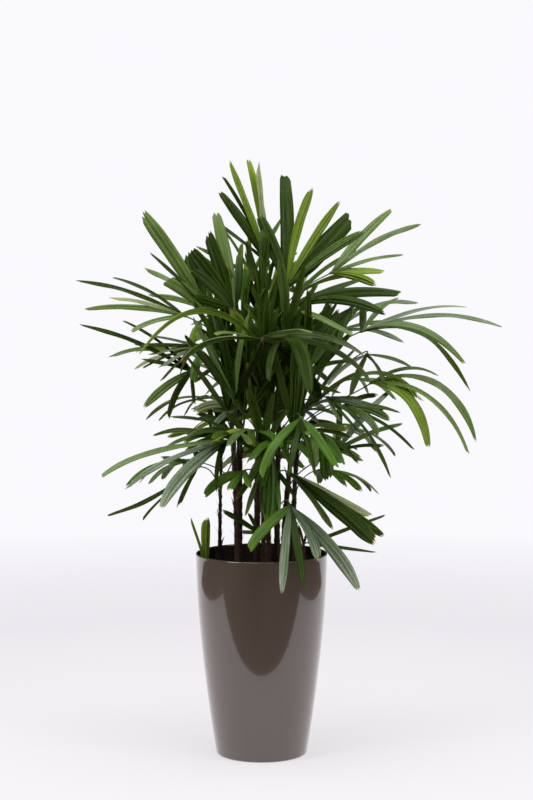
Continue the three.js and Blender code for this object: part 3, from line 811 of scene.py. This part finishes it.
def make_studio():
    w, s, f, b = PAPER_HALF_WIDTH, STUDIO_HALF, PAPER_FRONT, PAPER_WIDENS
    beside = [((-s, -s), (s, f)), ((-s, f), (-w, b)), ((w, f), (s, b))]
    paper = paper_material()
    add_plates("stage_paper", level([((-w, f), (w, b)), ((-s, b), (s, s))], 0), paper, ALL_RAYS)
    add_plates("stage_floor", level(beside, 0), paper, ("camera",))
    add_dark_plates("dark_floor", level(beside, -FLOOR_DEPTH), FLOOR_COLOUR, ("glossy", "diffuse"))
    # a darker plate of painted shade on the dark floor, which only gloss meets
    add_dark_plates("mat", level([SHADE_PLATE], -SHADE_PLATE_DEPTH), SHADE_PLATE_COLOUR, ("glossy",))
    wall = upright_plate(-WALL_HALF, WALL_AT, WALL_HALF, WALL_AT, WALL_HEIGHT)
    add_dark_plates("dark_wall", [wall], WALL_COLOUR, ("glossy", "diffuse", "shadow"))
    r = ROOM_HALF
    room = level([((-r, -r), (r, r))], ROOM_HEIGHT)
    for x0, y0, x1, y1 in ((-r, -r, -r, r), (r, -r, r, r), (-r, r, r, r)):
        room.append(upright_plate(x0, y0, x1, y1, ROOM_HEIGHT))
    add_dark_plates("dark_room", room, ROOM_COLOUR, ("glossy",))


# ---------- Planter and soil

POT_SIDES = 144
AXIS_RING = 2  # radius of the small rings that close the pot at its axis
FOOT_HOLLOW = [(22, 4), (18, 1), (15, 0)]  # how far inside the foot's edge, and how high
SOIL_RELIEF = 7
SOIL_GRAIN = 1.5
SOIL_DEPTH = 40
SOIL_RINGS = 46
SOIL_SIDES = 120
SOIL_FLAT_EDGE = 12  # it lies level along the wall
SOIL_WAVES = 7
CHIP_COUNT = 420
CHIP_SEED = 510
CHIP_SHAPE = [(-1, 0.35), (-0.4, 1), (0.5, 0.9), (1, 0.3)]  # places along it and thicknesses


def pot_radius(z):
    below = 1 - np.asarray(z, float) / POT_HEIGHT
    return POT_FOOT_RADIUS + (POT_RIM_RADIUS - POT_FOOT_RADIUS) * (1 - below**POT_BELLY)


def rings(radii, heights, turn):
    """Rings of points round the Z axis."""
    across = radii[:, None]
    return np.stack(np.broadcast_arrays(across * np.cos(turn), across * np.sin(turn), heights), -1)


def make_pot():
    """The pot is a profile of (radius, z) points turned about the Z axis."""
    lip = POT_WALL / 2
    wall_top = POT_HEIGHT - lip
    foot_centre = pot_radius(POT_FOOT_ROUNDING) - POT_FOOT_ROUNDING
    lip_centre = pot_radius(wall_top) - lip
    profile = [(AXIS_RING, FOOT_HOLLOW[0][1])]
    profile += [(foot_centre - inside, z) for inside, z in FOOT_HOLLOW]
    for turn in np.linspace(0, np.pi / 2, 9)[:-1]:
        profile.append((foot_centre + POT_FOOT_ROUNDING * np.sin(turn),
                        POT_FOOT_ROUNDING * (1 - np.cos(turn))))
    profile += [(pot_radius(z), z) for z in np.linspace(POT_FOOT_ROUNDING, wall_top, 60)]
    for turn in np.linspace(0, np.pi, 13)[1:-1]:
        profile.append((lip_centre + lip * np.cos(turn), wall_top + lip * np.sin(turn)))
    profile += [(pot_radius(z) - POT_WALL, z) for z in np.linspace(wall_top, POT_FLOOR, 30)]
    profile.append((AXIS_RING, POT_FLOOR))
    profile = np.array(profile, float)
    turn = once_round(POT_SIDES)
    heap = Heap()
    heap.add(rings(profile[:, 0], profile[:, 1:], turn), pairs(turn * 100, lengths_along(profile)))
    heap.piece("planter", "pot", pot_material(), "pot", sharp=60)


def waves(x, y, seed):
    """A smooth uneven height from -1 to 1 over the plane, from a few crossed waves."""
    total = np.zeros(np.broadcast(x, y).shape)
    for k in range(SOIL_WAVES):
        angle = 2 * np.pi * chance(seed, k, 1)
        size = 14 + 60 * chance(seed, k, 2)
        phase = 2 * np.pi * chance(seed, k, 3)
        total = total + np.sin((x * np.cos(angle) + y * np.sin(angle)) * 2 * np.pi / size + phase)
    return total / SOIL_WAVES


def soil_height(x, y):
    return SOIL_LEVEL + SOIL_RELIEF * waves(x, y, 501) + SOIL_GRAIN * waves(x * 4, y * 4, 502)


def soil_radius(z):
    return float(pot_radius(z)) - POT_WALL - SOIL_PLAY


def make_soil():
    radius = np.linspace(1, soil_radius(SOIL_LEVEL), SOIL_RINGS)
    low = SOIL_LEVEL - SOIL_DEPTH
    points = rings(np.append(radius, soil_radius(low)), low, once_round(SOIL_SIDES))
    uneven = soil_height(points[:-1, :, 0], points[:-1, :, 1]) - SOIL_LEVEL
    flat = np.minimum(1, (radius[-1] - radius) / SOIL_FLAT_EDGE)[:, None]
    points[:-1, :, 2] = SOIL_LEVEL + uneven * flat
    heap = Heap()
    heap.add(points, points[..., :2])
    for i in range(CHIP_COUNT):
        draw = lambda channel: chance(CHIP_SEED, i, channel)
        spot = (radius[-1] - 8) * math.sqrt(draw(1))
        angle = 2 * math.pi * draw(2)
        x, y = spot * math.cos(angle), spot * math.sin(angle)
        place = np.array([x, y, float(soil_height(x, y)) + 1])
        size = 2.5 + 5 * draw(3) ** 2
        heading = compass(360 * draw(4), 50 * (draw(5) - 0.5))
        line = [place + heading * size * along for along, _ in CHIP_SHAPE]
        tube(heap, line, np.array([thick for _, thick in CHIP_SHAPE]) * size * 0.55, sides=5)
    heap.piece("soil_top", "soil", soil_material(), "soil", sharp=30)


# ---------- Canes

CANE_SIDES = 20
CANE_STEP = 4
CANE_SINKS = 6  # how far a cane goes on under the soil's surface
SHEATH_UNDER = 0.9  # how far its surface lies under the plain taper before its relief
SHEATH_PITCH = 34  # mean length of cane that each old leaf sheath covers
SHEATH_FLARE = 1.7  # how far a sheath's ragged top stands off
SHEATH_FLARES_FROM = 0.45
SWELLINGS = [(0.35, 3, 0.21, 1), (0.3, -4, 0.33, 2)]  # height, times round, pitch, start
CANE_GRAIN = 0.7
FIBRES_A_SHEATH = 9
FIBRE_RADII = [0.6, 0.5, 0.12]
LEAF_BASE_SHARE = 0.45  # of the sheaths, that keep a stiff old leaf base
LEAF_BASE_RADII = [2.6, 2.4, 2.1, 1.7, 1.1, 0.3]


def sheath_edges(index, length):
    """Heights along a cane at which one old leaf sheath ends and the next shows."""
    edges = [0.0]
    while edges[-1] < length:
        edges.append(edges[-1] + SHEATH_PITCH * (0.6 + 0.8 * chance(index, len(edges), 20)))
    return edges


def cane_relief(index, length, gone, turn):
    """How far a cane's surface stands off its plain taper, for each ring and side: the sheaths'
    ragged flaring tops, two spiral swellings and a rough grain."""
    edges = np.array(sheath_edges(index, length))
    relief = np.zeros((len(gone), len(turn)))
    for j, angle in enumerate(turn):
        ragged = gone + 5 * (chance(index, j, 21) - 0.5) + 4 * math.sin(2 * angle + index)
        ragged = np.clip(ragged, 0, length)
        span = np.clip(np.searchsorted(edges, ragged, side="right") - 1, 0, len(edges) - 2)
        share = (ragged - edges[span]) / (edges[span + 1] - edges[span])
        relief[:, j] = SHEATH_FLARE * np.maximum(0, share - SHEATH_FLARES_FROM)
        for height, times, pitch, first in SWELLINGS:
            relief[:, j] += height * np.sin(angle * times + gone * pitch + first * index)
        grain = np.array([chance(index, i, j, 22) for i in range(len(gone))])
        relief[:, j] += CANE_GRAIN * (grain - 0.5)
    return relief


def make_cane(index, cane, fibres):
    *_, top_z, radius = cane
    line = bezier(cane_controls(cane), np.linspace(0, 1, int((top_z - SOIL_LEVEL) / CANE_STEP)))
    line = np.vstack([line[0] - UP * CANE_SINKS, line])
    gone = line[:, 2] - line[0, 2]
    taper = radius * (1 - (1 - CANE_TAPER) * gone / gone[-1])
    relief = cane_relief(index, gone[-1], gone, once_round(CANE_SIDES))
    heap = Heap()
    tube(heap, line, taper[:, None] - SHEATH_UNDER + relief, sides=CANE_SIDES)
    name = "cane_%d" % (index + 1)
    heap.piece("sheathed_" + name, "cane", BARK, name, sharp=70)
    for k, edge in enumerate(sheath_edges(index, gone[-1])[1:-1]):
        add_fibres(fibres, index, k, point_at(line, edge, gone), float(np.interp(edge, gone, taper)))


def add_fibres(heap, index, k, middle, radius):
    """Loose fibres, and here and there a stiff old leaf base, at a sheath's ragged top."""

    def course(azimuth, length, sunk, under, off, tip_off):
        out = compass(azimuth, 0)
        return [middle + out * (radius - sunk) - UP * under,
                middle + out * (radius + off) + UP * length * 0.3,
                middle + out * (radius + tip_off) + UP * length]

    for i in range(FIBRES_A_SHEATH):
        azimuth = 360 * (i + chance(index, k, i, 30)) / FIBRES_A_SHEATH
        length = 7 + 16 * chance(index, k, i, 31) ** 2
        lean = 0.12 + 0.5 * chance(index, k, i, 32)
        tube(heap, course(azimuth, length, 0.6, 5, 0.8, lean * length), FIBRE_RADII, sides=3)
    if chance(index, k, 33) < LEAF_BASE_SHARE:
        length = 18 + 26 * chance(index, k, 35)
        line = course(360 * chance(index, k, 34), length, 2, 12, 1.5, 4 + 0.28 * length)
        tube(heap, bezier(line, np.linspace(0, 1, len(LEAF_BASE_RADII))), LEAF_BASE_RADII, sides=6)


def make_canes():
    fibres = Heap()
    for index, cane in enumerate(CANES):
        make_cane(index, cane, fibres)
    fibres.piece("cane_fibres", "cane", BARK, sharp=60)


# ---------- Fronds

FINE_STEPS = 48  # steps along a blade at which its course is worked out
SHOW_AT = 30  # the step at which a front blade shows its look's width
BLADE_SPANS = 17  # faces along a blade before its tip
TIP_SPANS = 8
TIP_FROM = 0.82
MOST_CUT = 0.15  # of a blade's length
FOLD_COLUMNS = 4  # faces across each fold
BLADE_HALF_THICKNESS = 0.3
STRAP_ROOT = 0.24
STRAP_TAPER_POWER = 1.8
TIP_ROUNDING_POWER = 2.2
RIPPLE_PITCH = 24
DRY_TIPS_OVER = 0.88
# The widths between which blades change from tapering much to tapering little
SLENDER = 24
WIDE = 44
SLENDER_TAPER = 1.25
WIDE_TAPER = 0.6
HANGING_BELOW = 0.5  # fans that aim lower than this have wide blades that end in a point all the same
HANGING_BREADTH = 0.2
UPRIGHT_ABOVE = 0.9
# Blades without a look have this share of the solids' width, in upright fronds and in others
SLIM_WIDTH = 0.68
FULL_WIDTH = 0.78
STALK_STEPS = 26
STALK_SLIM = 1.9
STALK_ENDS = [(3.4, 16), (0.7, 10)]  # how much wider its foot and its neck are, and over what length
HUB_FLATNESS = 0.5
HUB_RINGS = 7
HUB_SIDES = 10
# The tints of blades without a look, each with the upper end of its share of them
OUTER_TINTS = [("deep", 0.4), ("green", 0.7), ("vivid", 0.84), ("bright", 0.95), ("olive", 1)]
INNER_TINTS = [("dark", 0.5), ("deep", 0.8), ("green", 0.91), ("vivid", 0.97), ("bright", 1)]


def blade_shape(fan, blade, width):
    """What sets one fine blade apart from the next. Wide ones keep their width to the tip."""
    draw = lambda channel: chance(fan.index, blade, channel)
    breadth = min(1, max(0, (width - SLENDER) / (WIDE - SLENDER)))
    if fan.ahead[2] < HANGING_BELOW:
        breadth *= HANGING_BREADTH
    slender = SLENDER_TAPER - (SLENDER_TAPER - WIDE_TAPER) * breadth
    return SimpleNamespace(
        folds=2 + int(draw(11) * 2.4),
        fold_depth=0.06 + 0.06 * draw(12),
        keel=math.tan(math.radians(4 + 26 * draw(13))),
        rounding=0.05 + 0.22 * draw(14),
        teeth=6 + 15 * draw(15),
        slant=1.2 * (draw(22) - 0.5),
        ripple=0.5 + 1.1 * draw(16),
        sway=0.06 * (draw(18) - 0.5),
        full_from=0.3 + 0.35 * draw(19),
        taper=slender * (0.35 + 0.4 * draw(20)),
        taper_from=0.5 + 0.3 * draw(21),
        dry=draw(17),
        seed=blade,
    )


def strap(t, shape):
    """A fine blade's width over its full width: a strap that tapers late."""
    opening = np.minimum(1, t / shape.full_from)
    root = STRAP_ROOT + (1 - STRAP_ROOT) * opening * (2 - opening)
    past = np.maximum(0, (t - shape.taper_from) / (1 - shape.taper_from))
    return root * (1 - shape.taper * past**STRAP_TAPER_POWER)


def tip_cuts(fan, plan, shape, x, fold):
    """How much shorter a blade is at each place across it, as a share of its length."""
    ridge = 1 - np.abs(fold - np.round(fold)) * 2
    tooth = np.array([chance(fan.index, shape.seed, j, 40) for j in range(len(x))])
    slant = shape.slant
    cut = shape.rounding * plan.width * np.abs(x) ** TIP_ROUNDING_POWER
    cut += shape.teeth * ridge * (0.4 + 0.6 * tooth)
    cut += abs(slant) * plan.width * (1 + math.copysign(1, slant) * x) / 2
    return np.minimum(cut / plan.length, MOST_CUT)


def add_blade(heap, tip_heap, fan, plan, shape):
    """A pleated blade, closed and thin, with a toothed tip. A dry tip goes to its own heap."""
    x = np.linspace(-1, 1, FOLD_COLUMNS * shape.folds + 1)
    fold = (x + 1) / 2 * shape.folds
    s = np.concatenate([np.linspace(0, TIP_FROM, BLADE_SPANS, endpoint=False),
                        np.linspace(TIP_FROM, 1, TIP_SPANS + 1)])
    end = 1 - tip_cuts(fan, plan, shape, x, fold)
    past = np.maximum(0, s - TIP_FROM)[:, None] / (1 - TIP_FROM)
    t = np.minimum(s, TIP_FROM)[:, None] + past * (end - TIP_FROM)
    steps = np.linspace(0, 1, FINE_STEPS + 1)
    middle, across, face = (np.stack([np.interp(t, steps, rows[:, k]) for k in range(3)], -1)
                            for rows in blade_frames(fan, plan, FINE_STEPS))
    outline = strap(t, shape)
    half = plan.width * outline / 2
    pleat = 1 - 4 * np.abs(fold - np.floor(fold) - 0.5)
    lift = pleat * shape.fold_depth * plan.width * np.sqrt(outline) * 0.5
    lift = lift - np.abs(x) * half * shape.keel
    wave = np.sin(t * plan.length / RIPPLE_PITCH + 6 * shape.dry + np.sign(x) * 1.3)
    lift = lift + wave * np.abs(x) ** 3 * shape.ripple * outline
    sway = shape.sway * plan.length * np.sin(np.pi * t)
    skin = middle + across * (x * half + sway)[..., None] + face * lift[..., None]
    thick = face * BLADE_HALF_THICKNESS
    loop = np.concatenate([skin + thick, (skin - thick)[:, ::-1]], axis=1)
    along = t * BLADE_LENGTH_UNITS
    u = np.broadcast_to((fold + 5 * shape.seed) * RIB_PITCH, t.shape)
    uvs = np.stack([np.hstack([u, u[:, ::-1]]), np.hstack([along, along[:, ::-1]])], -1)
    sides = 2 * len(x)
    rows = len(s) - (1 if shape.dry > DRY_TIPS_OVER else 0)
    for target, low, high in ((heap, 0, rows), (tip_heap, rows - 1, len(s))):
        if high - low < 2:
            continue
        first = [[j, j + 1, sides - 2 - j, sides - 1 - j] for j in range(len(x) - 1)]
        last = [[(high - low - 1) * sides + corner for corner in cap] for cap in first]
        target.add(loop[low:high], uvs[low:high], [cap[::-1] for cap in first] + last)


def add_stalk(heap, controls):
    """A leaf stalk: a clasping foot on the cane, then a slim round stalk."""
    t = np.linspace(0, 1, STALK_STEPS)
    line = bezier(controls, t)
    gone = t * np.linalg.norm(np.diff(line, axis=0), axis=1).sum()
    (foot, foot_over), (neck, neck_over) = STALK_ENDS
    wider = foot * np.exp(-gone / foot_over)
    tube(heap, line, STALK_SLIM + wider + neck * np.exp((gone - gone[-1]) / neck_over))


def add_hub(heap, fan):
    """The small flat fan base that a frond's blades leave together."""
    rows = np.linspace(-np.pi / 2, np.pi / 2, HUB_RINGS)
    line = fan.hub + fan.ahead * (np.sin(rows)[:, None] * HUB_RADIUS * 1.2)
    radius = np.maximum(0.3, np.cos(rows) * HUB_RADIUS * 0.75)[:, None]
    turn = once_round(HUB_SIDES)
    points = (line[:, None] + fan.side * (np.cos(turn) * radius)[..., None]
              + fan.normal * (np.sin(turn) * radius * HUB_FLATNESS)[..., None])
    heap.add(points, points[..., :2])


def all_fronds():
    """Every fan with the cane point that its stalk leaves: first the solids', in their order."""
    tables = [(FRONT_FRONDS, 0), (FULL_FRONDS, BACK_FROM), (INNER_FRONDS, INNER_FROM),
              (EXTRA_FRONDS, EXTRA_FROM)]
    number = 0
    for table, first in tables:
        rows = table.strip().replace("\n  ", " ").splitlines()
        for index, row in enumerate(rows, first):
            numbers, _, tail = row.partition(":")
            cane, leaves, x, y, z, aim, rise, roll, droop, *even = map(int, numbers.split())
            if even:
                blades, looks = even_blades(*even, index), tail.split()
            else:
                own = [blade.split() for blade in tail.split(",")]
                blades = [[int(turn), int(length)] for turn, length, _ in own]
                looks = [look for *_, look in own]
            number += 1
            name = "frond_%02d" % number if first < INNER_FROM else None
            fan = make_fan(name, index, [x, y, z], aim, rise, roll, droop, BLADE_WIDTH, blades, looks)
            yield fan, cane_at(CANES[cane], leaves)
    for index, cane in enumerate(CANES, SPEARS_FROM):
        top = cane_at(cane, cane[4])
        start = cane_at(cane, cane[4] - SPEAR_ROOT)
        hub = top + (top - start) * SPEAR_STANDS
        blades = even_blades(SPEAR_BLADES, SPEAR_FAN, SPEAR_REACH, index)
        aim = 360 * chance(index, 60)
        yield make_fan(None, index, hub, aim, SPEAR_RISE, 0, SPEAR_DROOP, BLADE_WIDTH, blades), start


def upright(fan):
    """Whether a frond is a young one that stands up inside the crown, with slimmer blades."""
    return fan.index >= BACK_FROM and fan.ahead[2] > UPRIGHT_ABOVE


def blade_tint(fan, blade):
    """The tint of a blade that has none of its own."""
    draw = chance(fan.index, blade, 50)
    shares = INNER_TINTS if upright(fan) else OUTER_TINTS
    return next(tint for tint, upper in shares if draw < upper)


def turn_to_show(fan, plan, share):
    """The least turn about its own length by which a blade shows a share of its width to the
    front."""
    middle, across, face = (rows[SHOW_AT] for rows in blade_frames(fan, plan, FINE_STEPS))
    view = middle - np.array(CAMERA_PLACE) / MM
    sideways = unit(np.cross(np.cross(across, face), view))
    a, b = across.dot(sideways), face.dot(sideways)
    widest = math.atan2(b, a)
    off = math.acos(min(1, share / math.hypot(a, b)))
    turns = [widest + sign * off + half * math.pi for sign in (-1, 1) for half in (-1, 0, 1)]
    return min(turns, key=abs)


def dress(fan, plan, look):
    """Gives a blade its look's width and arch, and returns its tint."""
    letter, _, arch = look.partition("^")
    shown = float(letter[1:])
    plan.width = max(SLIMMEST_BLADE, shown / FULLEST_SHOW)
    plan.arch = float(arch or 0)
    plan.turn = turn_to_show(fan, plan, shown / plan.width)
    return TINT_LETTERS[letter[0]]


def make_fronds():
    tints = ("dark", *TINT_LETTERS.values())
    heaps = {(tint, part): Heap() for tint in tints for part in ("front", "back")}
    tips, stalks = Heap(), Heap()
    names = []
    for fan, start in all_fronds():
        solid = None
        if fan.name:
            names.append(fan.name)
            solid = solid_points(fan.name)
        add_stalk(stalks, grown_stalk(fan, start, solid))
        add_hub(stalks, fan)
        part = "front" if fan.index < BACK_FROM else "back"
        for blade in range(len(fan.blades)):
            plan = grown_plan(fan, blade, solid)
            if fan.looks:
                tint = dress(fan, plan, fan.looks[blade])
            else:
                tint = blade_tint(fan, blade)
                plan.width *= SLIM_WIDTH if upright(fan) else FULL_WIDTH
            add_blade(heaps[tint, part], tips, fan, plan, blade_shape(fan, blade, plan.width))
    stalks.piece("frond_stalks", "frond", LEAVES["stalk"], *names)
    for (tint, part), heap in heaps.items():
        if heap.count:
            # deep blades further back take a copy of deep painted lighter, against the shade inside the
            # crown
            leaf = LEAVES["deep_lit_inner" if (tint, part) == ("deep", "back") else tint]
            heap.piece("blades_%s_%s" % (tint, part), "frond", leaf)
    tips.piece("blade_tips_dry", "dried_leaf", LEAVES["dry"])


def make_shoots():
    for index, row in enumerate(SHOOTS, SHOOTS_FROM):
        name, x, y, height, radius, *rest = row
        hub = [x, y, SOIL_LEVEL + height]
        fan = make_fan(name, index, hub, *rest)
        solid = solid_points(name)
        heap = Heap()
        line = [[x, y, SOIL_LEVEL - SHOOT_SINKS], [x, y, SOIL_LEVEL + height * 0.5], hub]
        tube(heap, line, [radius, radius * 0.9, radius * 0.6], sides=12)
        for blade in range(len(fan.blades)):
            plan = grown_plan(fan, blade, solid)
            if fan.looks:
                dress(fan, plan, fan.looks[blade])
            add_blade(heap, heap, fan, plan, blade_shape(fan, blade, plan.width))
        if name == "dried_shoot":
            heap.piece(name + "_leaves", "dried_leaf", DRY_SHOOT, name)
        else:
            heap.piece(name + "_leaves", "frond", LEAVES["bright"], name)


make_camera()
make_studio()
make_lights()
make_pot()
make_soil()
make_canes()
make_fronds()
make_shoots()
